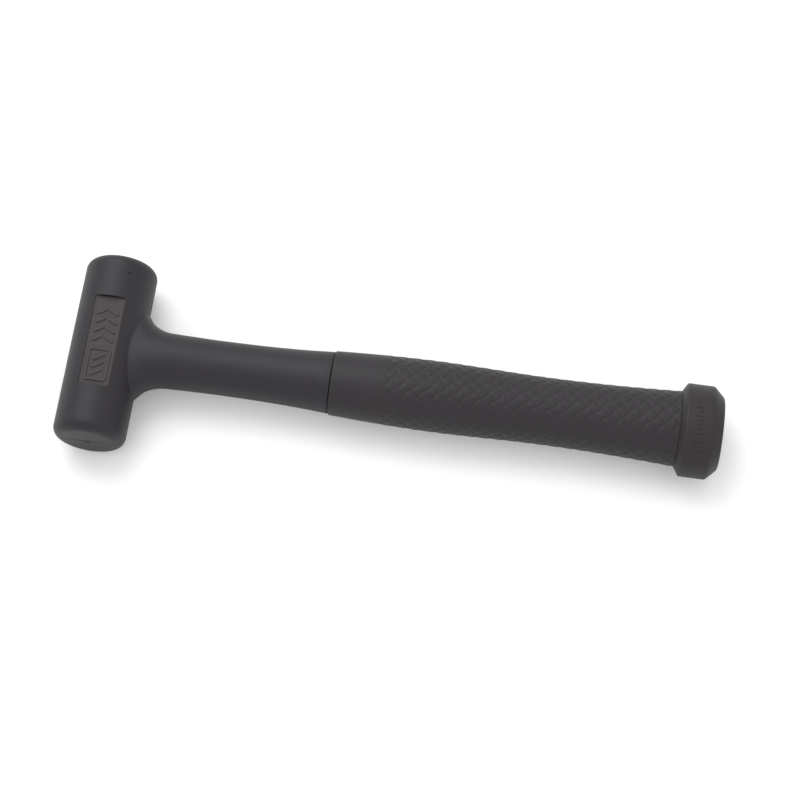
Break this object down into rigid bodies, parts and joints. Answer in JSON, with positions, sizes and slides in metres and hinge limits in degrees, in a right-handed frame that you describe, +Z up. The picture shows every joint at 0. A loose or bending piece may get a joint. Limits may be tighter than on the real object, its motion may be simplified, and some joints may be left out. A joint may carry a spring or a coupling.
{
  "type": "dead blow mallet",
  "caption": "Dead blow mallet with a round urethane head, a shot-filled steel canister inside it, an oval shaft, a woven-texture grip and a flared butt cap.",
  "frame": {"origin": "under the middle of the mallet's box, on the surface that it lies on", "axes": "+X along the handle from the head to the butt, +Y along the head's axis from one striking face to the other, +Z up, out of the side that carries the label recess"},
  "size_m": [0.325, 0.095, 0.036],
  "materials": {
    "jacket_urethane": "semi-matt cast urethane, near black, faint mould grain",
    "grip_rubber": "matt moulded rubber with a raised basket weave",
    "cap_rubber": "matt moulded rubber",
    "canister_steel": "drawn tube, light oil film",
    "socket_steel": "turned steel, weld-tinted at the saddle",
    "rod_steel": "cold-drawn bar with turned grooves",
    "shot_steel": "round steel shot"
  },
  "bodies": {
    "mallet": {"cast_jacket": "jacket_urethane", "grip_sleeve": "grip_rubber", "butt_cap": "cap_rubber", "shot_canister": "canister_steel", "canister_plug_a": "canister_steel", "canister_plug_b": "canister_steel", "core_socket": "socket_steel", "core_rod": "rod_steel"},
    "shot_charge": {"shot_01": "shot_steel", "shot_02": "shot_steel", "shot_03": "shot_steel", "shot_04": "shot_steel", "shot_05": "shot_steel", "shot_06": "shot_steel", "shot_07": "shot_steel", "shot_08": "shot_steel", "shot_09": "shot_steel", "shot_10": "shot_steel", "shot_11": "shot_steel", "shot_12": "shot_steel", "shot_13": "shot_steel", "shot_14": "shot_steel", "shot_15": "shot_steel", "shot_16": "shot_steel", "shot_17": "shot_steel", "shot_18": "shot_steel", "shot_19": "shot_steel", "shot_20": "shot_steel", "shot_21": "shot_steel", "shot_22": "shot_steel", "shot_23": "shot_steel", "shot_24": "shot_steel", "shot_25": "shot_steel", "shot_26": "shot_steel", "shot_27": "shot_steel", "shot_28": "shot_steel", "shot_29": "shot_steel", "shot_30": "shot_steel", "shot_31": "shot_steel", "shot_32": "shot_steel", "shot_33": "shot_steel", "shot_34": "shot_steel", "shot_35": "shot_steel", "shot_36": "shot_steel", "shot_37": "shot_steel"}
  },
  "joints": [
    {"name": "shot_slide", "type": "slide", "parent": "mallet", "child": "shot_charge", "axis": [0, 1, 0], "range_m": [-0.0108, 0.0108]}
  ]
}
